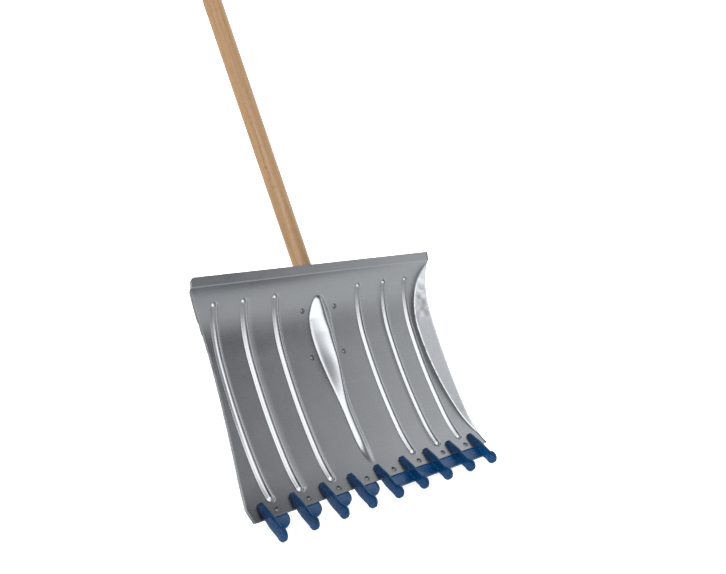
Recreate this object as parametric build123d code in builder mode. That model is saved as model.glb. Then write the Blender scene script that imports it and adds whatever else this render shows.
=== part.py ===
"""Snow shovel: a pressed aluminium scoop on a turned wooden handle, with plastic glides along its edge.

Frame: X runs across the scoop, +Y towards its back and +Z up. The origin is the middle of the cutting
edge. Lengths are millimetres and angles are degrees. A place on the scoop is given by its length up the
curve of the sheet from the cutting edge, and by how far it lies behind the sheet's front face.
"""
import os
from math import cos, hypot, radians, sin, sqrt, tan

from build123d import *

os.makedirs("parts", exist_ok=True)

# Scoop: one pressed sheet, curved by four arcs from the cutting edge up to the top crease
SCOOP_WIDTH = 500.0
SHEET = 1.5
EDGE_LEAN = 61.2
TIP_ARC = 76.0
TIP_TURN = 23.7
BACK_ARC = 166.0
BACK_TURN = 12.6
SHOULDER_ARC = 65.0
SHOULDER_TURN = 18.9
TOP_ARC = 61.0
TOP_TURN = 37.8

# Top lip, bent back from the crease, with one rounded corner
LIP_HEIGHT = 15.0
LIP_LEAN = 10.0
LIP_ROUND_CORNER = 10.0
LIP_TIGHT_CORNER = 2.0

# Side flanges, folded forward along a curved line
FLANGE_WIDTH = 30.0
FLANGE_HEM = 1.0
FLANGE_FLARE = 59.0
FLANGE_START = 22.0
FLANGE_PEAK_MARGIN = 128.0
FLANGE_TOP_MARGIN = 6.0
FLANGE_FULLNESS = 0.8
SECTION_STEP = 14.0
FRONT_ROOM = 60.0

# Stiffening beads, pressed forward
BEAD_PLACES = [88.5, 148.7, 202.7]
BEAD_WIDTH = 13.0
BEAD_HEIGHT = 4.5
BEAD_START = 30.5
BEAD_TOP_MARGIN = 37.0

# Handle housing, the long drop-shaped bulge in the middle of the scoop
HOUSING_START = 29.0
HOUSING_SECTIONS = 16
HOUSING_TOP_MARGIN = 43.0
HOUSING_HALF_WIDTH = 22.0
HOUSING_HEIGHT = 22.0
TAIL_HALF_WIDTH = 9.5
TAIL_HEIGHT = 5.2
TAIL_RUN_IN = 76.0
TAIL_WIDTH_LEAD = 12.0
TAIL_WIDTH_RUN_IN = 50.0
SWELL_TOP_MARGIN = 245.0
SWELL_HEIGHT_RUN = 100.0
SWELL_WIDTH_RUN = 150.0
HOUSING_TOP_RUN = 62.0
HOUSING_TOP_ROUND = 38.0
HOUSING_TOP_LEAD = 3.0
HOUSING_LEAST_HEIGHT = 0.8

# Handle
HANDLE_LENGTH = 1300.0
HANDLE_RADIUS = 17.2
NECK_RADIUS = 15.5
NECK_TO_FULL = 520.0
CONE_LENGTH = 135.0
CONE_TIP_RADIUS = 9.0
HANDLE_END_ROUND = 9.0
TIP_CHAMFER = 1.5
TIP_MARGIN = 146.0
TIP_IN_FRONT = 9.7
SOCKET_MARGIN = 66.5
SOCKET_BEHIND = 4.8

# Bracket behind the scoop, which holds the handle down into the housing
BRACKET_HALF_WIDTH = 46.0
BRACKET_SHEET = 2.0
BRACKET_TOP_MARGIN = 48.0
BRACKET_FOOT_MARGIN = 160.0
BRACKET_CORNER = 10.0
BRACKET_RIVET_HALF_GAP = 34.5
BRACKET_RIVET_TOP_MARGIN = 65.0
BRACKET_RIVET_FOOT_MARGIN = 143.0

# Glides on the cutting edge
FIN_COUNT = 9
FIN_PITCH = 56.2
FIN_THICKNESS = 4.5
FIN_TOP = 25.0
FIN_TOP_PROUD = 6.0
FIN_PROUD = 10.5
NOSE_RADIUS = 10.4
NOSE_REACH = 33.3
NOSE_PROUD = 4.2
NOSE_END = 70.0
HEEL = 2.0
PLATE_THICKNESS = 4.0
PLATE_DROP = 21.0
PLATE_RISE = 27.0
PLATE_TOP_CORNER = 12.0
PLATE_LOBE_CORNER = 19.0
CLIP_COUNT = 4
CLIP_MARGIN = 12.0

# Fasteners and clearances
EDGE_RIVET_COUNT = 8
EDGE_RIVET_PITCH = 58.0
EDGE_RIVET_RISE = 10.0
RIVET_HEAD_RADIUS = 4.5
RIVET_HEAD_HEIGHT = 2.2
RIVET_SHANK_RADIUS = 2.4
RIVET_TAIL_RADIUS = 3.8
RIVET_TAIL_HEIGHT = 1.8
RIVET_CLEARANCE = 0.15
WASHER_RADIUS = 6.0
WASHER_THICKNESS = 1.0
SCREW_RADIUS = 2.2
SCREW_HEAD_RADIUS = 4.5
SCREW_HEAD_HEIGHT = 2.4
SCREW_DEPTH = 17.0
SCREW_RUN = 72.0
SCREW_SLOT = 1.2
SCREW_LIFT = 0.4
SEAT_GAP = 0.15
HANDLE_CLEARANCE = 0.4
HOLE_REACH = 6.0
HUMP_REACH = 60.0
CONE_OVERRUN = 40.0

CREST = TIP_ARC + BACK_ARC + SHOULDER_ARC + TOP_ARC
ARCS = [(TIP_ARC, TIP_TURN), (BACK_ARC, BACK_TURN), (SHOULDER_ARC, SHOULDER_TURN), (TOP_ARC, TOP_TURN)]
BREAKS = [0.0, TIP_ARC, TIP_ARC + BACK_ARC, TIP_ARC + BACK_ARC + SHOULDER_ARC, CREST]


def lean_at(rise):
    """Lean of the sheet from vertical, in degrees, at a length up its curve."""
    lean = EDGE_LEAN
    for (length, turn), start in zip(ARCS, BREAKS):
        lean -= turn * min(max(rise - start, 0.0), length) / length
    return lean


def on_sheet(rise, behind=0.0):
    """The (y, z) point at a length up the curve, straight past both ends of the sheet."""
    y = 0.0
    z = 0.0
    for (length, turn), start in zip(ARCS, BREAKS):
        radius = length / radians(turn)
        low = radians(lean_at(start))
        high = radians(lean_at(min(max(rise, start), start + length)))
        y += radius * (cos(high) - cos(low))
        z += radius * (sin(low) - sin(high))
    lean = radians(lean_at(rise))
    past = min(rise, 0.0) + max(rise - CREST, 0.0)
    y += past * sin(lean) + behind * cos(lean)
    z += past * cos(lean) - behind * sin(lean)
    return (y, z)


def section_plane(rise, across=0.0, behind=0.0):
    """Plane square to the sheet's curve: its x runs across the scoop and its y points backwards."""
    lean = radians(lean_at(rise))
    y, z = on_sheet(rise, behind)
    return Plane(origin=(across, y, z), x_dir=(1, 0, 0), z_dir=(0, sin(lean), cos(lean)))


def face_plane(rise, across=0.0, behind=0.0):
    """Plane that touches the sheet, with its z pointing out of the front."""
    lean = radians(lean_at(rise))
    y, z = on_sheet(rise, behind)
    return Plane(origin=(across, y, z), x_dir=(1, 0, 0), z_dir=(0, -cos(lean), sin(lean)))


def along_sheet(behind, low, high):
    """Lines and arcs that follow the sheet's curve from one length up it to another."""
    stops = [low] + [rise for rise in BREAKS if low < rise < high] + [high]
    for start, end in zip(stops, stops[1:]):
        middle = on_sheet((start + end) / 2, behind)
        if end <= 0.0 or start >= CREST:
            Line(on_sheet(start, behind), on_sheet(end, behind))
        else:
            ThreePointArc(on_sheet(start, behind), middle, on_sheet(end, behind))


def band(near, far, low, high, across=0.0):
    """Side view, at one place across, of a layer from near to far behind the sheet's front face."""
    with BuildSketch(Plane.YZ.offset(across)) as layer:
        with BuildLine():
            along_sheet(near, low, high)
            along_sheet(far, low, high)
            Line(on_sheet(low, near), on_sheet(low, far))
            Line(on_sheet(high, near), on_sheet(high, far))
        make_face()
    return layer.sketch


def ease(share):
    """Smooth step from 0 to 1."""
    share = min(max(share, 0.0), 1.0)
    return share * share * (3.0 - 2.0 * share)


def flange_width(rise):
    """Width of the folded side at a length up the curve."""
    peak = CREST - FLANGE_PEAK_MARGIN
    run_in = (rise - FLANGE_START) / (peak - FLANGE_START)
    run_out = (CREST - FLANGE_TOP_MARGIN - rise) / (FLANGE_PEAK_MARGIN - FLANGE_TOP_MARGIN)
    share = min(max(min(run_in, run_out), 0.0), 1.0)
    return max(FLANGE_WIDTH * sin(radians(90.0 * share)) ** FLANGE_FULLNESS, FLANGE_HEM)


def housing_height(rise):
    """Height of the housing's crest in front of the sheet."""
    tail = ease((rise - HOUSING_START) / TAIL_RUN_IN)
    swell = ease((rise - (CREST - SWELL_TOP_MARGIN)) / SWELL_HEIGHT_RUN)
    left_over = (CREST - HOUSING_TOP_MARGIN - rise) / HOUSING_TOP_RUN
    height = TAIL_HEIGHT * tail + (HOUSING_HEIGHT - TAIL_HEIGHT) * swell
    return max(height * sqrt(min(max(left_over, 0.0), 1.0)), HOUSING_LEAST_HEIGHT)


def housing_half_width(rise):
    """Half the housing's width at the sheet."""
    tail = sqrt(ease((rise - HOUSING_START + TAIL_WIDTH_LEAD) / TAIL_WIDTH_RUN_IN))
    swell = ease((rise - (CREST - SWELL_TOP_MARGIN)) / SWELL_WIDTH_RUN)
    left_over = (CREST - HOUSING_TOP_MARGIN + HOUSING_TOP_LEAD - rise) / HOUSING_TOP_ROUND
    half_width = TAIL_HALF_WIDTH * tail + (HOUSING_HALF_WIDTH - TAIL_HALF_WIDTH) * swell
    return half_width * sqrt(min(max(left_over, 0.0), 1.0))


# Room in front of the sheet's middle: pressed shapes are trimmed to it
with BuildPart() as front_room:
    extrude(band(-FRONT_ROOM, SHEET / 2, 0.0, CREST), amount=SCOOP_WIDTH / 2, both=True)

# One bead and the groove behind it, a rod with round ends that follows the sheet
BEAD_RADIUS = (BEAD_WIDTH**2 / 4 + BEAD_HEIGHT**2) / (2 * BEAD_HEIGHT)
BEAD_BEHIND = BEAD_RADIUS - BEAD_HEIGHT


def bead_rod(radius):
    """A round rod along the bead's centre line, with a ball at each end."""
    low = BEAD_START
    high = CREST - BEAD_TOP_MARGIN
    with BuildPart() as rod:
        with BuildLine(Plane.YZ):
            along_sheet(BEAD_BEHIND, low, high)
        with BuildSketch(section_plane(low, behind=BEAD_BEHIND)):
            Circle(radius)
        sweep()
        for rise in (low, high):
            y, z = on_sheet(rise, BEAD_BEHIND)
            with Locations((0, y, z)):
                Sphere(radius)
    return rod.part


with BuildPart() as bead:
    add(bead_rod(BEAD_RADIUS))
    add(front_room.part, mode=Mode.INTERSECT)

bead_groove = bead_rod(BEAD_RADIUS - SHEET)


def housing_form(inset, behind):
    """The housing's drop shape, as ellipses square to the sheet."""
    low = HOUSING_START
    high = CREST - HOUSING_TOP_MARGIN
    with BuildPart() as form:
        for step in range(HOUSING_SECTIONS + 1):
            rise = low + (high - low) * sin(radians(90.0 * step / HOUSING_SECTIONS))
            with BuildSketch(section_plane(rise, behind=behind)):
                Ellipse(housing_half_width(rise) - inset, housing_height(rise))
        loft()
    return form.part


with BuildPart() as housing:
    add(housing_form(0.0, 0.0))
    add(front_room.part, mode=Mode.INTERSECT)

housing_hollow = housing_form(SHEET, SHEET)

edge_rivet_places = [(i - (EDGE_RIVET_COUNT - 1) / 2) * EDGE_RIVET_PITCH for i in range(EDGE_RIVET_COUNT)]
edge_rivets = [(EDGE_RIVET_RISE, across) for across in edge_rivet_places]
bracket_rivet_rises = [CREST - BRACKET_RIVET_TOP_MARGIN, CREST - BRACKET_RIVET_FOOT_MARGIN]
bracket_rivets_at = [
    (rise, side * BRACKET_RIVET_HALF_GAP) for rise in bracket_rivet_rises for side in (-1, 1)
]
HOLE_RADIUS = RIVET_SHANK_RADIUS + RIVET_CLEARANCE

# Blade: the whole pressed scoop
with BuildPart() as blade:
    flare = radians(FLANGE_FLARE)
    section_count = round(CREST / SECTION_STEP)
    for step in range(section_count + 1):
        rise = CREST * step / section_count
        width = flange_width(rise)
        fold = SCOOP_WIDTH / 2 - width
        tip = (fold + width * cos(flare), -width * sin(flare))
        outer_tip = (tip[0] + SHEET * sin(flare), tip[1] + SHEET * cos(flare))
        outer_fold = (fold + SHEET * tan(flare / 2), SHEET)
        half = [(fold, 0.0), tip, outer_tip, outer_fold]
        other_half = [(-x, y) for x, y in reversed(half)]
        with BuildSketch(section_plane(rise)):
            with BuildLine():
                Polyline(*half, *other_half, close=True)
            make_face()
    loft()
    crest_y, crest_z = on_sheet(CREST)
    lip_lean = radians(LIP_LEAN)
    lip_plane = Plane(
        origin=(0, crest_y, crest_z),
        x_dir=(1, 0, 0),
        z_dir=(0, -cos(lip_lean), sin(lip_lean)),
    )
    with BuildSketch(lip_plane) as lip:
        with Locations((0, LIP_HEIGHT / 2)):
            Rectangle(SCOOP_WIDTH, LIP_HEIGHT)
        top_corners = lip.vertices().group_by(Axis.Z)[-1].sort_by(Axis.X)
        fillet(top_corners[0], LIP_ROUND_CORNER)
        right_corner = lip.vertices().group_by(Axis.Z)[-1].sort_by(Axis.X)[-1]
        fillet(right_corner, LIP_TIGHT_CORNER)
    extrude(amount=-SHEET)
    with Locations([(side * across, 0, 0) for across in BEAD_PLACES for side in (-1, 1)]):
        add(bead.part)
        add(bead_groove, mode=Mode.SUBTRACT)
    add(housing.part)
    add(housing_hollow, mode=Mode.SUBTRACT)
    for rise, across in edge_rivets + bracket_rivets_at:
        with Locations(face_plane(rise, across, -HOLE_REACH)):
            Hole(HOLE_RADIUS, depth=2 * HOLE_REACH)
blade.part.label = "blade"
export_step(blade.part, "parts/blade.step")

# Handle: its axis runs from the tip, inside the housing, to the socket's top, behind the sheet
TIP_RISE = CREST - TIP_MARGIN
tip_y, tip_z = on_sheet(TIP_RISE, -TIP_IN_FRONT)
socket_y, socket_z = on_sheet(CREST - SOCKET_MARGIN, SOCKET_BEHIND)
axis_length = hypot(socket_y - tip_y, socket_z - tip_z)
axis_y = (socket_y - tip_y) / axis_length
axis_z = (socket_z - tip_z) / axis_length
handle_plane = Plane(origin=(0, tip_y, tip_z), x_dir=(1, 0, 0), z_dir=(0, axis_y, axis_z))
side_plane = Plane(origin=(0, tip_y, tip_z), x_dir=(1, 0, 0), z_dir=(0, -axis_z, axis_y))
handle_axis = Axis((0, tip_y, tip_z), (0, axis_y, axis_z))


def handle_radius(run):
    """Radius of the handle at a distance up its axis from the tip."""
    cone = min(max(run / CONE_LENGTH, 0.0), 1.0)
    swell = min(max((run - CONE_LENGTH) / NECK_TO_FULL, 0.0), 1.0)
    return CONE_TIP_RADIUS + (NECK_RADIUS - CONE_TIP_RADIUS) * cone + (HANDLE_RADIUS - NECK_RADIUS) * swell


screw_plane = Plane(
    origin=handle_plane.from_local_coords((0, handle_radius(SCREW_RUN), SCREW_RUN)),
    x_dir=(1, 0, 0),
    z_dir=(0, axis_z, -axis_y),
)

with BuildPart() as handle:
    with BuildSketch(side_plane) as half_outline:
        with BuildLine():
            Polyline(
                (0, 0),
                (CONE_TIP_RADIUS, 0),
                (NECK_RADIUS, CONE_LENGTH),
                (HANDLE_RADIUS, CONE_LENGTH + NECK_TO_FULL),
                (HANDLE_RADIUS, HANDLE_LENGTH),
                (0, HANDLE_LENGTH),
                close=True,
            )
        make_face()
        chamfer(half_outline.vertices().sort_by_distance((CONE_TIP_RADIUS, 0))[0], TIP_CHAMFER)
        fillet(half_outline.vertices().sort_by_distance((HANDLE_RADIUS, HANDLE_LENGTH))[0], HANDLE_END_ROUND)
    revolve(axis=handle_axis)
    with Locations(screw_plane):
        Hole(SCREW_RADIUS, depth=SCREW_DEPTH + SEAT_GAP)
handle.part.label = "handle"
export_step(handle.part, "parts/handle.step")

# Handle bracket: a plate behind the scoop with a conical hump round the handle
bracket_low = CREST - BRACKET_FOOT_MARGIN
bracket_high = CREST - BRACKET_TOP_MARGIN
bracket_near = SHEET + SEAT_GAP


def handle_cone(growth):
    """The handle's cone and neck, grown outwards and run past the tip."""
    taper = (NECK_RADIUS - CONE_TIP_RADIUS) / CONE_LENGTH
    with BuildPart() as cone:
        with BuildSketch(side_plane):
            with BuildLine():
                Polyline(
                    (0, -CONE_OVERRUN),
                    (CONE_TIP_RADIUS - CONE_OVERRUN * taper + growth, -CONE_OVERRUN),
                    (NECK_RADIUS + growth, CONE_LENGTH),
                    (NECK_RADIUS + growth, CONE_LENGTH + CONE_OVERRUN),
                    (0, CONE_LENGTH + CONE_OVERRUN),
                    close=True,
                )
            make_face()
        revolve(axis=handle_axis)
    return cone.part


with BuildPart() as hump:
    extrude(
        band(bracket_near, HUMP_REACH, bracket_low, bracket_high),
        amount=BRACKET_HALF_WIDTH,
        both=True,
    )
    add(handle_cone(HANDLE_CLEARANCE + BRACKET_SHEET), mode=Mode.INTERSECT)

with BuildPart() as handle_bracket:
    extrude(
        band(bracket_near, bracket_near + BRACKET_SHEET, bracket_low, bracket_high),
        amount=BRACKET_HALF_WIDTH,
        both=True,
    )
    corner_edges = handle_bracket.edges().filter_by(GeomType.LINE).filter_by(
        lambda edge: edge.length < 2 * BRACKET_SHEET
    )
    fillet(corner_edges, BRACKET_CORNER)
    add(hump.part)
    add(handle_cone(HANDLE_CLEARANCE), mode=Mode.SUBTRACT)
    for rise, across in bracket_rivets_at:
        with Locations(face_plane(rise, across, -HOLE_REACH)):
            Hole(HOLE_RADIUS, depth=2 * HOLE_REACH)
    with Locations(screw_plane):
        Hole(SCREW_RADIUS + RIVET_CLEARANCE, depth=HOLE_REACH)
handle_bracket.part.label = "handle_bracket"
export_step(handle_bracket.part, "parts/handle_bracket.step")

# Handle screw: pan head on the hump, shank in the wood
screw_seat = HANDLE_CLEARANCE + BRACKET_SHEET + SCREW_LIFT
with BuildPart() as handle_screw:
    with BuildSketch(screw_plane.offset(screw_seat)):
        Circle(SCREW_HEAD_RADIUS)
    extrude(amount=SCREW_HEAD_HEIGHT)
    fillet(handle_screw.edges().filter_by(GeomType.CIRCLE).sort_by(Axis.Y)[-1], SCREW_HEAD_HEIGHT / 2)
    with BuildSketch(screw_plane.offset(screw_seat)):
        Circle(SCREW_RADIUS - SEAT_GAP / 2)
    extrude(amount=-(SCREW_DEPTH + screw_seat))
    with BuildSketch(screw_plane.offset(screw_seat + SCREW_HEAD_HEIGHT)):
        Rectangle(SCREW_SLOT, 2 * SCREW_HEAD_RADIUS)
        Rectangle(2 * SCREW_HEAD_RADIUS, SCREW_SLOT)
    extrude(amount=-SCREW_HEAD_HEIGHT / 2, mode=Mode.SUBTRACT)
handle_screw.part.label = "handle_screw"
export_step(handle_screw.part, "parts/handle_screw.step")


def rivet(stack):
    """A domed rivet on the XY plane, head up, through a stack of the given thickness."""
    with BuildPart() as one:
        with BuildSketch(Plane.XZ):
            with BuildLine():
                TangentArc((0, SEAT_GAP + RIVET_HEAD_HEIGHT), (RIVET_HEAD_RADIUS, SEAT_GAP), tangent=(1, 0))
                Polyline(
                    (RIVET_HEAD_RADIUS, SEAT_GAP),
                    (RIVET_SHANK_RADIUS, SEAT_GAP),
                    (RIVET_SHANK_RADIUS, -stack - SEAT_GAP),
                    (RIVET_TAIL_RADIUS, -stack - SEAT_GAP),
                )
                TangentArc(
                    (0, -stack - SEAT_GAP - RIVET_TAIL_HEIGHT),
                    (RIVET_TAIL_RADIUS, -stack - SEAT_GAP),
                    tangent=(1, 0),
                )
                Line((0, SEAT_GAP + RIVET_HEAD_HEIGHT), (0, -stack - SEAT_GAP - RIVET_TAIL_HEIGHT))
            make_face()
        revolve(axis=Axis.Z)
    return one.part


def place_rivets(name, places, stack):
    """Write one node of rivets, set through the sheet at (rise, across) places."""
    with BuildPart() as rivets:
        for rise, across in places:
            with Locations(face_plane(rise, across)):
                add(rivet(stack))
    rivets.part.label = name
    export_step(rivets.part, f"parts/{name}.step")


place_rivets("bracket_rivets", bracket_rivets_at, SHEET + SEAT_GAP + BRACKET_SHEET)

# Glides: fins square to the cutting edge, on a plate riveted behind it
fin_places = [(i - (FIN_COUNT - 1) / 2) * FIN_PITCH for i in range(FIN_COUNT)]
plate_near = SHEET + SEAT_GAP
plate_far = plate_near + PLATE_THICKNESS


def fin_outline(across):
    """Side view of one fin, before the sheet's slot is cut."""
    nose_meets_web = NOSE_REACH - sqrt(NOSE_RADIUS**2 - (FIN_PROUD - NOSE_PROUD) ** 2)
    under_reach = NOSE_REACH - NOSE_RADIUS * cos(radians(NOSE_END))
    under_behind = NOSE_RADIUS * sin(radians(NOSE_END)) - NOSE_PROUD
    with BuildSketch(Plane.YZ.offset(across)) as outline:
        with BuildLine():
            Polyline(
                on_sheet(PLATE_RISE, plate_far),
                on_sheet(PLATE_RISE, 0.0),
                on_sheet(FIN_TOP, -FIN_TOP_PROUD),
                on_sheet(0.0, -FIN_PROUD),
                on_sheet(-nose_meets_web, -FIN_PROUD),
            )
            ThreePointArc(
                on_sheet(-nose_meets_web, -FIN_PROUD),
                on_sheet(-NOSE_REACH - NOSE_RADIUS, -NOSE_PROUD),
                on_sheet(-under_reach, under_behind),
            )
            Polyline(
                on_sheet(-under_reach, under_behind),
                on_sheet(-PLATE_DROP / 2, plate_far + HEEL),
                on_sheet(PLATE_RISE / 3, plate_far + HEEL / 4),
                on_sheet(PLATE_RISE, plate_far),
            )
        make_face()
    return outline.sketch


def glide(name, fins, rivets, start, end, corners):
    """Write one glide: its fins and the plate between start and end, slotted over the sheet's edge."""
    with BuildPart() as piece:
        extrude(band(plate_near, plate_far, -PLATE_DROP, PLATE_RISE, start), amount=end - start)
        for rise, corner in corners:
            y, z = on_sheet(rise, (plate_near + plate_far) / 2)
            fillet(piece.edges().sort_by_distance((end, y, z))[0], corner)
        for across in fins:
            extrude(fin_outline(across), amount=FIN_THICKNESS / 2, both=True)
        sheet_slot = band(-SEAT_GAP, plate_near, -SEAT_GAP, PLATE_RISE + SHEET, start - FIN_THICKNESS)
        extrude(sheet_slot, amount=end - start + 2 * FIN_THICKNESS, mode=Mode.SUBTRACT)
        for across in rivets:
            with Locations(face_plane(EDGE_RIVET_RISE, across, -HOLE_REACH)):
                Hole(HOLE_RADIUS, depth=3 * HOLE_REACH)
    piece.part.label = name
    export_step(piece.part, f"parts/{name}.step")


half_fin = FIN_THICKNESS / 2
clip_corners = [(-PLATE_DROP, PLATE_LOBE_CORNER), (PLATE_RISE, PLATE_TOP_CORNER)]
for i in range(CLIP_COUNT):
    fin = fin_places[i]
    hole = edge_rivet_places[i]
    glide(f"glide_clip_{i + 1}", [fin], [hole], fin - half_fin, hole + CLIP_MARGIN, clip_corners)
strip_fins = fin_places[CLIP_COUNT:]
strip_holes = edge_rivet_places[CLIP_COUNT:]
glide("glide_strip", strip_fins, strip_holes, strip_fins[0] - half_fin, strip_fins[-1] + half_fin, [])

# Rivets of the glides, and the washers that spread their pull on the plastic
washer_near = plate_far + SEAT_GAP
glide_stack = washer_near + WASHER_THICKNESS
place_rivets("clip_rivets", edge_rivets[:CLIP_COUNT], glide_stack)
place_rivets("strip_rivets", edge_rivets[CLIP_COUNT:], glide_stack)
for name, places in (("clip_washers", edge_rivets[:CLIP_COUNT]), ("strip_washers", edge_rivets[CLIP_COUNT:])):
    with BuildPart() as washers:
        for rise, across in places:
            with BuildSketch(face_plane(rise, across, washer_near)):
                Circle(WASHER_RADIUS)
                Circle(HOLE_RADIUS, mode=Mode.SUBTRACT)
            extrude(amount=-WASHER_THICKNESS)
    washers.part.label = name
    export_step(washers.part, f"parts/{name}.step")
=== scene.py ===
from math import cos, pi, radians, sin, sqrt

import bmesh
import bpy
from mathutils import Matrix, Vector, noise


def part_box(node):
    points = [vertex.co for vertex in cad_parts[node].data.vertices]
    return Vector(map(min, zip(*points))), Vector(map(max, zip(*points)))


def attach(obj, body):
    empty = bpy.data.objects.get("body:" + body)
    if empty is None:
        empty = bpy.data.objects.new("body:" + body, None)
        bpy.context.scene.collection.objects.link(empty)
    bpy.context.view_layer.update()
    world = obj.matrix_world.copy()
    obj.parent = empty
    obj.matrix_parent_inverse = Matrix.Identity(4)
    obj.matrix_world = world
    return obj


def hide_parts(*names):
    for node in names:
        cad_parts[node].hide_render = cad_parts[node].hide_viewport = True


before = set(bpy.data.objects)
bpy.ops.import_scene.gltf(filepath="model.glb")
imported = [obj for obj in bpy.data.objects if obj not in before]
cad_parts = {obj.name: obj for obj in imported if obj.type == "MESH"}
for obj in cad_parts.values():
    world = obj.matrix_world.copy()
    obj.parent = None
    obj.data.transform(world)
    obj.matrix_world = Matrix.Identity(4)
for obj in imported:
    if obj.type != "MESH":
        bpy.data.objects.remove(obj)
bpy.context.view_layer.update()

# ---------------------------------------------------------------------------
# Scoop. A half-hard aluminium sheet, 1.5 mm thick, pressed between dies in one stroke: the curve, six
# stiffening beads, the drop-shaped housing for the handle, the folded sides and the lip that is bent back
# along the top.
SCOOP_WIDTH = 0.500
SHEET = 0.0015
EDGE_LEAN = 61.2
CURVE = [(0.076, 23.7), (0.166, 12.6), (0.065, 18.9), (0.061, 37.8)]
CREST = sum(length for length, turn in CURVE)
LIP_HEIGHT = 0.015
LIP_LEAN = radians(10.0)
LIP_CORNER_LEFT = 0.010
LIP_CORNER_RIGHT = 0.002
CREASE = 0.0025

FLANGE_WIDTH = 0.030
FLANGE_HEM = 0.001
FLANGE_FLARE = radians(59.0)
FLANGE_LOW = 0.022
FLANGE_PEAK = CREST - 0.128
FLANGE_HIGH = CREST - 0.006
FLANGE_FULLNESS = 0.8
FOLD_BLEND = 0.0009

BEAD_PLACES = [0.0885, 0.1487, 0.2027]
BEAD_RADIUS = 0.00694
BEAD_HEIGHT = 0.0045
BEAD_FOOT = 0.0059
BEAD_FOOT_ROUND = 0.0015
BEAD_FOOT_HEIGHT = 0.00122
BEAD_LOW = 0.0305
BEAD_HIGH = CREST - 0.037

HOUSING_LOW = 0.029
HOUSING_HIGH = CREST - 0.043
HOUSING_HALF_WIDTH = 0.022
HOUSING_HEIGHT = 0.022
HOUSING_TOP_RUN = 0.062
HOUSING_TOP_ROUND = 0.038
HOUSING_TOP_LEAD = 0.003
SWELL_START = CREST - 0.245
SWELL_HEIGHT_RUN = 0.100
SWELL_WIDTH_RUN = 0.150
TAIL_HALF_WIDTH = 0.0095
TAIL_HEIGHT = 0.0052
TAIL_RUN_IN = 0.050
TAIL_WIDTH_LEAD = 0.012
TAIL_WIDTH_RUN_IN = 0.050
RIDGE_ROUND = 0.45
FOOT_ROUND = 0.12
FOOT_HEIGHT = 0.168

SLACK_DEPTH = 0.00018
PUCKER_DEPTH = 0.0008


def lean_at(rise):
    """Lean of the sheet from vertical, in radians, at a length up its curve from the cutting edge."""
    lean = EDGE_LEAN
    start = 0.0
    for length, turn in CURVE:
        lean -= turn * min(max(rise - start, 0.0), length) / length
        start += length
    return radians(lean)


def ease(share):
    """Smooth step from 0 to 1."""
    share = min(max(share, 0.0), 1.0)
    return share * share * (3.0 - 2.0 * share)


# The side view is worked out once, in quarter-millimetre steps from the cutting edge to the top of the lip
STEP = 0.00025
side_view = [(0.0, 0.0, lean_at(0.0))]
while (len(side_view) - 1) * STEP < CREST + LIP_HEIGHT:
    rise = len(side_view) * STEP
    y, z, lean = side_view[-1]
    bent = ease((rise - CREST + CREASE / 2) / CREASE)
    lean = lean_at(rise) * (1.0 - bent) + LIP_LEAN * bent
    side_view.append((y + STEP * sin(lean), z + STEP * cos(lean), lean))


def on_sheet(rise, behind=0.0):
    """The (y, z) point at a length up the curve and a depth behind the front face."""
    place = min(max(rise, 0.0), CREST + LIP_HEIGHT) / STEP
    low = min(int(place), len(side_view) - 2)
    share = place - low
    y, z, lean = [a + (b - a) * share for a, b in zip(side_view[low], side_view[low + 1])]
    past = min(rise, 0.0)
    y += past * sin(lean) + behind * cos(lean)
    z += past * cos(lean) - behind * sin(lean)
    return y, z, lean


def flange_width(rise):
    """Width of the folded side at a length up the curve."""
    run_in = (rise - FLANGE_LOW) / (FLANGE_PEAK - FLANGE_LOW)
    run_out = (FLANGE_HIGH - rise) / (FLANGE_HIGH - FLANGE_PEAK)
    share = min(max(min(run_in, run_out), 0.0), 1.0)
    return max(FLANGE_WIDTH * sin(pi / 2 * share) ** FLANGE_FULLNESS, FLANGE_HEM)


def housing_relief(across, rise):
    """How far the housing stands in front of the sheet: a broad rounded ridge with a round at its foot."""
    if rise <= HOUSING_LOW or rise >= HOUSING_HIGH + HOUSING_TOP_LEAD:
        return 0.0
    tail_height = TAIL_HEIGHT * ease((rise - HOUSING_LOW) / TAIL_RUN_IN)
    swell_height = (HOUSING_HEIGHT - TAIL_HEIGHT) * ease((rise - SWELL_START) / SWELL_HEIGHT_RUN)
    top = sqrt(max((HOUSING_HIGH - rise) / HOUSING_TOP_RUN, 0.0))
    height = (tail_height + swell_height) * min(top, 1.0)
    tail_half = TAIL_HALF_WIDTH * sqrt(ease((rise - HOUSING_LOW + TAIL_WIDTH_LEAD) / TAIL_WIDTH_RUN_IN))
    swell_half = (HOUSING_HALF_WIDTH - TAIL_HALF_WIDTH) * ease((rise - SWELL_START) / SWELL_WIDTH_RUN)
    top = sqrt(max((HOUSING_HIGH + HOUSING_TOP_LEAD - rise) / HOUSING_TOP_ROUND, 0.0))
    half = (tail_half + swell_half) * min(top, 1.0)
    share = abs(across) / max(half, 0.001)
    if share >= 1.0 + FOOT_ROUND:
        return 0.0
    if share > 1.0 - FOOT_ROUND:
        return height * FOOT_HEIGHT * ((1.0 + FOOT_ROUND - share) / (2 * FOOT_ROUND)) ** 2
    border = sqrt(1.0 + RIDGE_ROUND**2)
    return height * (border - sqrt(share**2 + RIDGE_ROUND**2)) / (border - RIDGE_ROUND)


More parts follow.
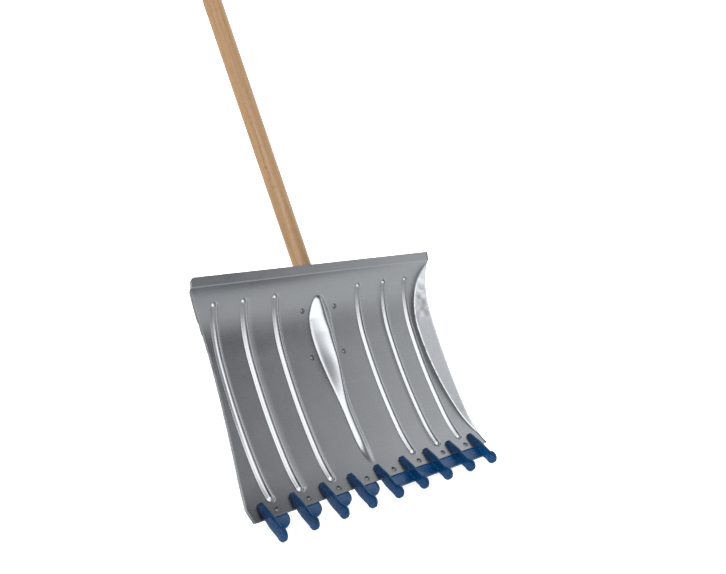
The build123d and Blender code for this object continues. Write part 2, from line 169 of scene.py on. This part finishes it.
def bead_relief(across, rise):
    """How far the nearest bead stands in front of the sheet: a round ridge with round ends and feet."""
    tallest = 0.0
    for place in BEAD_PLACES:
        over = min(max(rise, BEAD_LOW), BEAD_HIGH)
        away = sqrt((abs(across) - place) ** 2 + (rise - over) ** 2)
        if away < BEAD_FOOT:
            tallest = sqrt(BEAD_RADIUS**2 - away**2) - (BEAD_RADIUS - BEAD_HEIGHT)
        elif away < BEAD_FOOT + BEAD_FOOT_ROUND:
            tallest = BEAD_FOOT_HEIGHT * ((BEAD_FOOT + BEAD_FOOT_ROUND - away) / BEAD_FOOT_ROUND) ** 2
    return tallest


def press_marks(across, rise):
    """Slight waves that the press leaves: slack in the flat panels, puckers where the sides were folded."""
    inside = ease((rise - 0.045) / 0.05) * ease((CREST - 0.02 - rise) / 0.05)
    off_bracket = ease((abs(across) - 0.040) / 0.03)
    slack = SLACK_DEPTH * noise.noise(Vector((across * 11.0, rise * 9.0, 0.3))) * inside * off_bracket
    fold = SCOOP_WIDTH / 2 - flange_width(rise)
    up_side = ease((rise - 0.235) / 0.05) * ease((0.352 - rise) / 0.02)
    low_side = 0.15 * ease((rise - 0.05) / 0.03) * ease((0.135 - rise) / 0.03)
    on_fold = ease((abs(across) - fold + 0.004) / 0.014)
    broad = noise.noise(Vector((across * 34.0, rise * 88.0, 4.0)))
    fine = noise.noise(Vector((across * 90.0, rise * 190.0, 7.0)))
    return slack + PUCKER_DEPTH * (broad + 0.5 * fine) * on_fold * (up_side + low_side)


def scoop_point(across, rise):
    """A point of the front face, from its place on the flat sheet."""
    width = flange_width(rise)
    fold = SCOOP_WIDTH / 2 - width
    side = -1.0 if across < 0 else 1.0
    out = abs(across) - fold
    blend = min(FOLD_BLEND, width)
    radius = 2 * blend / FLANGE_FLARE
    if out <= -blend:
        reach = abs(across)
        forward = 0.0
        turn = 0.0
    else:
        turn = FLANGE_FLARE * min((out + blend) / (2 * blend), 1.0)
        straight = max(out - blend, 0.0)
        reach = fold - blend + radius * sin(turn) + straight * cos(turn)
        forward = radius * (1.0 - cos(turn)) + straight * sin(turn)
    relief = max(housing_relief(across, rise), bead_relief(across, rise)) + press_marks(across, rise)
    reach -= relief * sin(turn)
    forward += relief * cos(turn)
    y, z, lean = on_sheet(rise)
    return Vector((side * reach, y - forward * cos(lean), z + forward * sin(lean)))


def fine_stops(low, high, spacing):
    """Places from low to high, at a spacing that may change along the way."""
    stops = [low]
    while stops[-1] < high - spacing(stops[-1]) * 0.5:
        stops.append(stops[-1] + spacing(stops[-1]))
    scale = (high - low) / (stops[-1] - low)
    return [low + (stop - low) * scale for stop in stops]


def column_spacing(across):
    """Closer columns over the beads, the housing and the folds."""
    if min(abs(across - place) for place in BEAD_PLACES) < 0.010:
        return 0.0011
    if across < 0.026:
        return 0.0013
    return 0.0016 if across > 0.212 else 0.0048


def row_spacing(rise):
    """Closer rows at the crease, at the lip's corners and at the ends of the beads."""
    if abs(rise - CREST) < 0.004:
        return 0.0006
    if rise > CREST + LIP_HEIGHT - 0.011:
        return 0.0004 if rise > CREST + LIP_HEIGHT - 0.0025 else 0.0010
    if BEAD_HIGH - 0.004 < rise < BEAD_HIGH + 0.010 or rise < BEAD_LOW + 0.004:
        return 0.0015
    return 0.0026


half_columns = fine_stops(0.0, SCOOP_WIDTH / 2, column_spacing)
columns = [-x for x in reversed(half_columns[1:])] + half_columns
rows = fine_stops(0.0, CREST + LIP_HEIGHT, row_spacing)
scoop_mesh = bmesh.new()
bmesh.ops.create_grid(scoop_mesh, x_segments=len(columns) - 1, y_segments=len(rows) - 1, size=1.0)
sheet_uv = scoop_mesh.loops.layers.uv.new("sheet")
for vert in scoop_mesh.verts:
    column = columns[round((vert.co.x + 1.0) / 2.0 * (len(columns) - 1))]
    row = rows[round((vert.co.y + 1.0) / 2.0 * (len(rows) - 1))]
    for loop in vert.link_loops:
        loop[sheet_uv].uv = (column, row)
    # the lip's outer corner is rounded off, on the left side widely and on the right side barely
    corner = LIP_CORNER_LEFT if column < 0 else LIP_CORNER_RIGHT
    over = row - (CREST + LIP_HEIGHT - corner)
    if over > 0 and abs(column) > SCOOP_WIDTH / 2 - 2 * corner:
        cut = corner - sqrt(max(corner**2 - over**2, 0.0))
        near_end = abs(column) / (2 * corner) - (SCOOP_WIDTH / 4 / corner - 1.0)
        column -= cut * near_end * (1 if column > 0 else -1)
    vert.co = scoop_point(column, row)
bmesh.ops.recalc_face_normals(scoop_mesh, faces=scoop_mesh.faces[:])
scoop_mesh.normal_update()
if sum(face.normal.y * face.calc_area() for face in scoop_mesh.faces) > 0:
    bmesh.ops.reverse_faces(scoop_mesh, faces=scoop_mesh.faces[:])


def finished(name, mesh, body="root"):
    """Object from a bmesh, smooth apart from its sharp edges, on a body."""
    data = bpy.data.meshes.new(name)
    mesh.to_mesh(data)
    mesh.free()
    data.shade_smooth()
    data.set_sharp_from_angle(angle=radians(38.0))
    piece = bpy.data.objects.new(name, data)
    bpy.context.scene.collection.objects.link(piece)
    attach(piece, body)
    return piece


scoop = finished("scoop_sheet", scoop_mesh)
thickness = scoop.modifiers.new("sheet", "SOLIDIFY")
thickness.thickness = SHEET
thickness.offset = -1.0
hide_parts("blade")


class Finish:
    """A material's node tree, written one node at a time."""

    def __init__(self, name):
        self.material = bpy.data.materials.new(name)
        self.material.use_nodes = True
        self.tree = self.material.node_tree
        self.shader = self.tree.nodes["Principled BSDF"]

    def node(self, kind, **settings):
        made = self.tree.nodes.new(kind)
        for key, value in settings.items():
            setattr(made, key, value)
        return made

    def link(self, source, target):
        self.tree.links.new(source, target)

    def place(self, output="Object", turn=(0, 0, 0)):
        """Coordinates in metres, turned about the origin."""
        where = self.node("ShaderNodeTexCoord")
        mapping = self.node("ShaderNodeMapping")
        mapping.inputs["Rotation"].default_value = turn
        self.link(where.outputs[output], mapping.inputs["Vector"])
        return mapping.outputs["Vector"]

    def scaled(self, vector, scale):
        mapping = self.node("ShaderNodeMapping")
        mapping.inputs["Scale"].default_value = scale
        self.link(vector, mapping.inputs["Vector"])
        return mapping.outputs["Vector"]

    def noise(self, vector, scale, detail=3.0, rough=0.5, warp=0.0):
        made = self.node("ShaderNodeTexNoise")
        made.inputs["Scale"].default_value = scale
        made.inputs["Detail"].default_value = detail
        made.inputs["Roughness"].default_value = rough
        made.inputs["Distortion"].default_value = warp
        self.link(vector, made.inputs["Vector"])
        return made.outputs["Fac"]

    def span(self, value, low, high, to_low, to_high):
        """A value between low and high, spread between two others."""
        made = self.node("ShaderNodeMapRange")
        made.inputs["From Min"].default_value = low
        made.inputs["From Max"].default_value = high
        made.inputs["To Min"].default_value = to_low
        made.inputs["To Max"].default_value = to_high
        self.link(value, made.inputs["Value"])
        return made.outputs["Result"]

    def sum(self, first, second, how="ADD"):
        made = self.node("ShaderNodeMath", operation=how)
        for socket, value in zip(made.inputs, (first, second)):
            if isinstance(value, float):
                socket.default_value = value
            else:
                self.link(value, socket)
        return made.outputs["Value"]

    def colours(self, value, stops):
        made = self.node("ShaderNodeValToRGB")
        ramp = made.color_ramp
        while len(ramp.elements) < len(stops):
            ramp.elements.new(0.5)
        for element, (position, colour) in zip(ramp.elements, stops):
            element.position = position
            element.color = (*colour, 1.0)
        self.link(value, made.inputs["Fac"])
        return made.outputs["Color"]

    def bump(self, height, depth, strength=1.0, under=None):
        made = self.node("ShaderNodeBump")
        made.inputs["Strength"].default_value = strength
        made.inputs["Distance"].default_value = depth
        self.link(height, made.inputs["Height"])
        if under is not None:
            self.link(under, made.inputs["Normal"])
        return made.outputs["Normal"]


def aluminium(name, base, rough, coordinates="Object", grain=(12.0, 900.0, 1.0)):
    """Mill-finish aluminium: rolling grain, cloudy oxide, fine scratches."""
    finish = Finish(name)
    where = finish.place(coordinates)
    rolled = finish.noise(finish.scaled(where, grain), 1.0, 2.0, 0.55)
    cloud = finish.noise(where, 26.0, 4.0, 0.55, 0.3)
    speck = finish.noise(where, 900.0, 2.0, 0.6)
    scratch = finish.noise(finish.scaled(where, (30.0, 420.0, 30.0)), 1.6, 1.0, 0.5, 2.2)
    scored = finish.span(scratch, 0.665, 0.70, 0.0, 1.0)
    rolling = finish.span(rolled, 0.3, 0.7, -0.02, 0.02)
    shade = finish.sum(finish.span(cloud, 0.3, 0.7, -0.018, 0.018), rolling)
    shade = finish.sum(shade, finish.span(speck, 0.3, 0.7, -0.012, 0.012))
    shade = finish.sum(shade, finish.sum(scored, 0.05, "MULTIPLY"))
    tone = finish.span(shade, -0.12, 0.12, 0.0, 1.0)
    dark = tuple(channel * 0.84 for channel in base)
    light = tuple(min(channel * 1.13, 1.0) for channel in base)
    finish.link(finish.colours(tone, [(0.0, dark), (1.0, light)]), finish.shader.inputs["Base Color"])
    roughness = finish.span(cloud, 0.3, 0.7, rough - 0.02, rough + 0.02)
    roughness = finish.sum(roughness, finish.span(speck, 0.3, 0.7, -0.02, 0.02))
    roughness = finish.sum(roughness, finish.sum(scored, -0.06, "MULTIPLY"))
    finish.link(roughness, finish.shader.inputs["Roughness"])
    finish.shader.inputs["Metallic"].default_value = 1.0
    lines = finish.bump(rolled, 0.00003, 0.5)
    finish.link(finish.bump(speck, 0.00003, 0.5, lines), finish.shader.inputs["Normal"])
    return finish.material


scoop.data.materials.append(aluminium("pressed_aluminium_sheet", (0.47, 0.48, 0.49), 0.31, "UV"))

# ---------------------------------------------------------------------------
# Handle. Turned from straight-grained beech, sanded and dipped in a thin clear varnish. Its cone is driven
# into the housing from above, and its top end is rounded over.
CONE_LENGTH = 0.135
CONE_TIP_RADIUS = 0.009
NECK_RADIUS = 0.0155
HANDLE_RADIUS = 0.0172
FULL_FROM = 0.655
HANDLE_LENGTH = 1.2994
END_ROUND = 0.009
TIP_ROUND = 0.0015
TIP_DROP = 0.146
TIP_FORWARD = 0.0097
SOCKET_DROP = 0.0665
SOCKET_BEHIND = 0.0048
tip_y, tip_z = on_sheet(CREST - TIP_DROP, -TIP_FORWARD)[:2]
socket_y, socket_z = on_sheet(CREST - SOCKET_DROP, SOCKET_BEHIND)[:2]
handle_way = Vector((0.0, socket_y - tip_y, socket_z - tip_z)).normalized()
handle_tilt = -Vector((0.0, 0.0, 1.0)).angle(handle_way)
handle_place = Matrix.Translation((0.0, tip_y, tip_z)) @ Matrix.Rotation(handle_tilt, 4, "X")



def stretch(radius, end_radius, start, end, count):
    """Outline points along a straight stretch, without its first."""
    shares = [i / count for i in range(1, count + 1)]
    return [(radius + (end_radius - radius) * share, start + (end - start) * share) for share in shares]


outline = [(0.0, 0.0), (CONE_TIP_RADIUS - TIP_ROUND, 0.0), (CONE_TIP_RADIUS, TIP_ROUND)]
outline += stretch(CONE_TIP_RADIUS, NECK_RADIUS, 0.0, CONE_LENGTH, 8)
outline += stretch(NECK_RADIUS, HANDLE_RADIUS, CONE_LENGTH, FULL_FROM, 12)
outline += stretch(HANDLE_RADIUS, HANDLE_RADIUS, FULL_FROM, HANDLE_LENGTH - END_ROUND, 12)
for i in range(1, 9):
    turn = pi / 2 * i / 8
    outline.append((HANDLE_RADIUS - END_ROUND * (1 - cos(turn)), HANDLE_LENGTH - END_ROUND * (1 - sin(turn))))
outline.append((0.0, HANDLE_LENGTH))


def turned_piece(outline, steps=64):
    """A bmesh turned about Z from an (x, z) outline that starts and ends on the axis."""
    mesh = bmesh.new()
    chain = [mesh.verts.new((x, 0.0, z)) for x, z in outline]
    edges = [mesh.edges.new(pair) for pair in zip(chain, chain[1:])]
    bmesh.ops.spin(
        mesh,
        geom=chain + edges,
        cent=(0, 0, 0),
        axis=(0, 0, 1),
        angle=2 * pi,
        steps=steps,
        use_merge=True,
    )
    bmesh.ops.remove_doubles(mesh, verts=mesh.verts[:], dist=1e-6)
    bmesh.ops.recalc_face_normals(mesh, faces=mesh.faces[:])
    return mesh


handle_mesh = turned_piece(outline)
bmesh.ops.transform(handle_mesh, matrix=handle_place, verts=handle_mesh.verts[:])
handle = finished("beech_handle", handle_mesh)
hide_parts("handle")


def beech(name):
    """Varnished beech: long pale and pink bands, short dark flecks along the grain, faint pores."""
    finish = Finish(name)
    where = finish.place("Object", turn=(-handle_tilt, 0.0, 0.0))
    band = finish.noise(finish.scaled(where, (46.0, 46.0, 1.6)), 1.0, 3.0, 0.55, 0.6)
    grain = finish.noise(finish.scaled(where, (420.0, 420.0, 9.0)), 1.0, 3.0, 0.6, 0.3)
    fleck = finish.noise(finish.scaled(where, (1500.0, 1500.0, 130.0)), 1.0, 1.0, 0.5)
    flecks = finish.span(fleck, 0.60, 0.68, 0.0, 1.0)
    handled = finish.noise(where, 9.0, 3.0, 0.5)
    tone = finish.sum(finish.span(band, 0.25, 0.75, 0.0, 0.62), finish.span(grain, 0.25, 0.75, 0.0, 0.38))
    tone = finish.sum(tone, finish.sum(flecks, -0.34, "MULTIPLY"))
    dark_bands = [(0.0, (0.21, 0.100, 0.040)), (0.35, (0.395, 0.228, 0.106))]
    pale_bands = [(0.65, (0.475, 0.290, 0.144)), (1.0, (0.55, 0.358, 0.190))]
    colour = finish.colours(tone, dark_bands + pale_bands)
    finish.link(colour, finish.shader.inputs["Base Color"])
    finish.link(finish.span(handled, 0.3, 0.7, 0.34, 0.48), finish.shader.inputs["Roughness"])
    finish.shader.inputs["Coat Weight"].default_value = 0.25
    finish.shader.inputs["Coat Roughness"].default_value = 0.25
    rough = finish.bump(grain, 0.00006, 0.6)
    finish.link(finish.bump(flecks, -0.00004, 0.5, rough), finish.shader.inputs["Normal"])
    return finish.material


handle.data.materials.append(beech("varnished_beech"))

# ---------------------------------------------------------------------------
# Handle bracket, with its rivets and screw. A pressed aluminium plate behind the scoop clamps the handle's
# cone into the housing; four domed aluminium rivets and one zinc-plated screw hold it.


def softened(name, node, width, merge=2e-6):
    """A copy of a CAD node with its loose triangles joined and its hard edges rounded."""
    mesh = bmesh.new()
    mesh.from_mesh(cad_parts[node].data)
    bmesh.ops.remove_doubles(mesh, verts=mesh.verts[:], dist=merge)
    bmesh.ops.dissolve_limit(mesh, angle_limit=radians(0.6), verts=mesh.verts[:], edges=mesh.edges[:])
    hard = [edge for edge in mesh.edges if edge.is_manifold and edge.calc_face_angle(0.0) > radians(40.0)]
    bmesh.ops.bevel(
        mesh,
        geom=hard,
        offset=width,
        offset_type="OFFSET",
        segments=2,
        profile=0.5,
        affect="EDGES",
        material=-1,
        clamp_overlap=True,
    )
    piece = finished(name, mesh)
    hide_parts(node)
    return piece


bracket = softened("bracket_plate", "handle_bracket", 0.0004)
bracket_finish = aluminium("bracket_aluminium", (0.60, 0.61, 0.62), 0.38, grain=(900.0, 60.0, 12.0))
bracket.data.materials.append(bracket_finish)
rivet_finish = aluminium("rivet_aluminium", (0.25, 0.25, 0.26), 0.44, grain=(300.0, 300.0, 300.0))
rivets = softened("bracket_rivet_set", "bracket_rivets", 0.0002)
rivets.data.materials.append(rivet_finish)
screw = softened("bracket_screw", "handle_screw", 0.0002)
screw_finish = aluminium("zinc_plated_steel", (0.55, 0.56, 0.60), 0.28, grain=(400.0, 400.0, 400.0))
screw.data.materials.append(screw_finish)

# ---------------------------------------------------------------------------
# Glides. Injection-moulded blue polypropylene, glossy and a little see-through where it is thin. Four single
# clips and one five-fin strip are pushed over the cutting edge and riveted through, with washers behind.


def blue_plastic(name):
    """Glossy blue plastic: faint flow marks in the moulding, scuffs from the ground."""
    finish = Finish(name)
    where = finish.place("Object")
    flow = finish.noise(where, 38.0, 3.0, 0.5, 1.2)
    scuff = finish.noise(finish.scaled(where, (90.0, 700.0, 700.0)), 1.0, 2.0, 0.6, 0.8)
    scuffs = finish.span(scuff, 0.60, 0.72, 0.0, 1.0)
    orange = finish.noise(where, 420.0, 2.0, 0.5)
    tone = finish.sum(finish.span(flow, 0.25, 0.75, 0.0, 0.9), finish.sum(scuffs, 0.10, "MULTIPLY"))
    blues = [(0.0, (0.002, 0.052, 0.155)), (0.6, (0.003, 0.066, 0.19)), (1.0, (0.007, 0.088, 0.24))]
    finish.link(finish.colours(tone, blues), finish.shader.inputs["Base Color"])
    roughness = finish.sum(finish.span(flow, 0.3, 0.7, 0.16, 0.24), finish.sum(scuffs, 0.20, "MULTIPLY"))
    finish.link(roughness, finish.shader.inputs["Roughness"])
    finish.shader.inputs["IOR"].default_value = 1.49
    finish.shader.inputs["Specular IOR Level"].default_value = 0.32
    finish.shader.inputs["Transmission Weight"].default_value = 0.50
    peel = finish.bump(orange, 0.00004, 0.4)
    finish.link(finish.bump(scuffs, -0.00003, 0.5, peel), finish.shader.inputs["Normal"])
    return finish.material


glide_blue = blue_plastic("moulded_blue_plastic")
for node in [f"glide_clip_{i}" for i in range(1, 5)] + ["glide_strip"]:
    glide = softened(node.replace("glide", "moulded"), node, 0.0008)
    glide.data.materials.append(glide_blue)
for node in ("clip_rivets", "strip_rivets", "clip_washers", "strip_washers"):
    fixing = softened(node.replace("_", "_set_"), node, 0.0002)
    fixing.data.materials.append(rivet_finish)

# ---------------------------------------------------------------------------
# Studio: a glowing white floor that runs up into a backdrop, a soft lamp above, a lamp that washes the
# backdrop, a room of light that metal and plastic reflect, and the camera, level from side to side and
# looking slightly down.
FLOOR_GAP = 0.0005
FLOOR_FRONT = -0.45
FLOOR_BACK = 4.2
FLOOR_LEFT = -9.0
FLOOR_WIDTH = 20.0
FLOOR_TURN = radians(-42.4)
SWEEP_RADIUS = 1.5
BACKDROP_HEIGHT = 5.5
floor_height = min(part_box(node)[0].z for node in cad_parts) - FLOOR_GAP
sweep_mesh = bmesh.new()
sweep_path = [(FLOOR_FRONT, 0.0), (FLOOR_BACK, 0.0)]
for i in range(1, 13):
    turn = pi / 2 * i / 12
    sweep_path.append((FLOOR_BACK + SWEEP_RADIUS * sin(turn), SWEEP_RADIUS * (1 - cos(turn))))
sweep_path.append((FLOOR_BACK + SWEEP_RADIUS, BACKDROP_HEIGHT))
row = [sweep_mesh.verts.new((FLOOR_LEFT, y, floor_height + z)) for y, z in sweep_path]
edges = [sweep_mesh.edges.new(pair) for pair in zip(row, row[1:])]
made = bmesh.ops.extrude_edge_only(sweep_mesh, edges=edges)
bmesh.ops.translate(
    sweep_mesh,
    vec=(FLOOR_WIDTH, 0.0, 0.0),
    verts=[part for part in made["geom"] if isinstance(part, bmesh.types.BMVert)],
)
bmesh.ops.recalc_face_normals(sweep_mesh, faces=sweep_mesh.faces[:])
sweep_data = bpy.data.meshes.new("studio_floor")
sweep_mesh.to_mesh(sweep_data)
sweep_mesh.free()
sweep_data.shade_smooth()
studio_floor = bpy.data.objects.new("studio_floor", sweep_data)
bpy.context.scene.collection.objects.link(studio_floor)
studio_floor.rotation_euler.z = FLOOR_TURN
paper = Finish("white_paper")
paper.shader.inputs["Base Color"].default_value = (0.93, 0.93, 0.93, 1.0)
paper.shader.inputs["Roughness"].default_value = 0.9
paper.shader.inputs["Emission Color"].default_value = (1.0, 1.0, 1.0, 1.0)
paper.shader.inputs["Emission Strength"].default_value = 0.62
studio_floor.data.materials.append(paper.material)
studio_floor.visible_glossy = False

world = bpy.data.worlds.new("studio")
bpy.context.scene.world = world
world.use_nodes = True
sky = world.node_tree
facing = sky.nodes.new("ShaderNodeTexCoord")
apart = sky.nodes.new("ShaderNodeSeparateXYZ")
sky.links.new(facing.outputs["Generated"], apart.inputs["Vector"])


def light_level(value, low, high, to_low, to_high):
    """A soft step of the room's light between two values of a direction."""
    step = sky.nodes.new("ShaderNodeMapRange")
    step.interpolation_type = "SMOOTHSTEP"
    step.inputs["From Min"].default_value = low
    step.inputs["From Max"].default_value = high
    step.inputs["To Min"].default_value = to_low
    step.inputs["To Max"].default_value = to_high
    sky.links.new(value, step.inputs["Value"])
    return step.outputs["Result"]


def light_sum(first, second, how="ADD"):
    """Two levels of the room's light, put together."""
    joined = sky.nodes.new("ShaderNodeMath")
    joined.operation = how
    sky.links.new(first, joined.inputs[0])
    sky.links.new(second, joined.inputs[1])
    return joined.outputs["Value"]


# the walls from left to right: dim, then nearly dark, then bright; a lighter band above them and a darker
# middle of the ceiling; a floor that is lighter to the right; and a broad light from behind the viewer
wall_levels = [(0.0, 0.36), (0.40, 0.16), (0.785, 0.02), (0.825, 0.42), (0.86, 0.88), (1.0, 1.08)]
walls = sky.nodes.new("ShaderNodeValToRGB")
while len(walls.color_ramp.elements) < len(wall_levels):
    walls.color_ramp.elements.new(0.5)
for element, (position, level) in zip(walls.color_ramp.elements, wall_levels):
    element.position = position
    element.color = (level, level, level, 1.0)
across_room = sky.nodes.new("ShaderNodeMapRange")
across_room.inputs["From Min"].default_value = -1.0
sky.links.new(apart.outputs["X"], across_room.inputs["Value"])
sky.links.new(across_room.outputs["Result"], walls.inputs["Fac"])
upper_room = light_sum(walls.outputs["Color"], light_level(apart.outputs["Z"], 0.25, 0.70, 0.0, 0.22))
upper_room = light_sum(upper_room, light_level(apart.outputs["Z"], 0.76, 0.96, 0.0, -0.45))
below = sky.nodes.new("ShaderNodeMix")
sky.links.new(light_level(apart.outputs["X"], 0.48, 0.76, 0.56, 0.84), below.inputs["B"])
sky.links.new(light_level(apart.outputs["Z"], 0.03, 0.13, 1.0, 0.0), below.inputs["Factor"])
sky.links.new(upper_room, below.inputs["A"])
toward = sky.nodes.new("ShaderNodeVectorMath")
toward.operation = "DOT_PRODUCT"
toward.inputs[1].default_value = Vector((-0.52, -0.72, 0.47)).normalized()
sky.links.new(facing.outputs["Generated"], toward.inputs[0])
viewer_light = light_level(toward.outputs["Value"], 0.66, 0.90, 0.0, 2.0)
for axis, low, high, to_low, to_high in (
    ("Z", 0.02, 0.16, 0.0, 1.0),
    ("X", -0.30, -0.02, 1.0, 0.0),
    ("Y", -0.28, -0.05, 1.0, 0.0),
):
    limit = light_level(apart.outputs[axis], low, high, to_low, to_high)
    viewer_light = light_sum(viewer_light, limit, "MULTIPLY")
whole_room = light_sum(below.outputs["Result"], viewer_light)
sky.links.new(whole_room, sky.nodes["Background"].inputs["Strength"])
sky.nodes["Background"].inputs["Color"].default_value = (0.98, 1.0, 1.03, 1.0)
bpy.context.scene.view_settings.view_transform = "Standard"


def softbox(name, place, aim, size, power):
    """A square area light at a place, aimed at a point, that glossy surfaces don't show."""
    light = bpy.data.lights.new(name, "AREA")
    light.shape = "SQUARE"
    light.size = size
    light.energy = power
    lamp = bpy.data.objects.new(name, light)
    bpy.context.scene.collection.objects.link(lamp)
    lamp.location = place
    lamp.rotation_euler = (Vector(aim) - Vector(place)).to_track_quat("-Z", "Y").to_euler()
    lamp.visible_glossy = False
    return lamp


softbox("top_soft", (-0.6, 0.9, 2.9), (0.0, 0.1, 0.2), 2.0, 20.0)
softbox("back_wash", (0.2, 2.0, 3.2), (2.4, 3.4, 0.2), 3.0, 160.0)

camera_data = bpy.data.cameras.new("camera")
camera_data.lens = 42.31
camera_data.sensor_width = 36.0
camera = bpy.data.objects.new("camera", camera_data)
bpy.context.scene.collection.objects.link(camera)
camera.location = (-0.888, -0.9211, 0.5031)
camera.rotation_euler = Vector((0.6666, 0.7294, -0.1538)).to_track_quat("-Z", "Y").to_euler()
bpy.context.scene.camera = camera
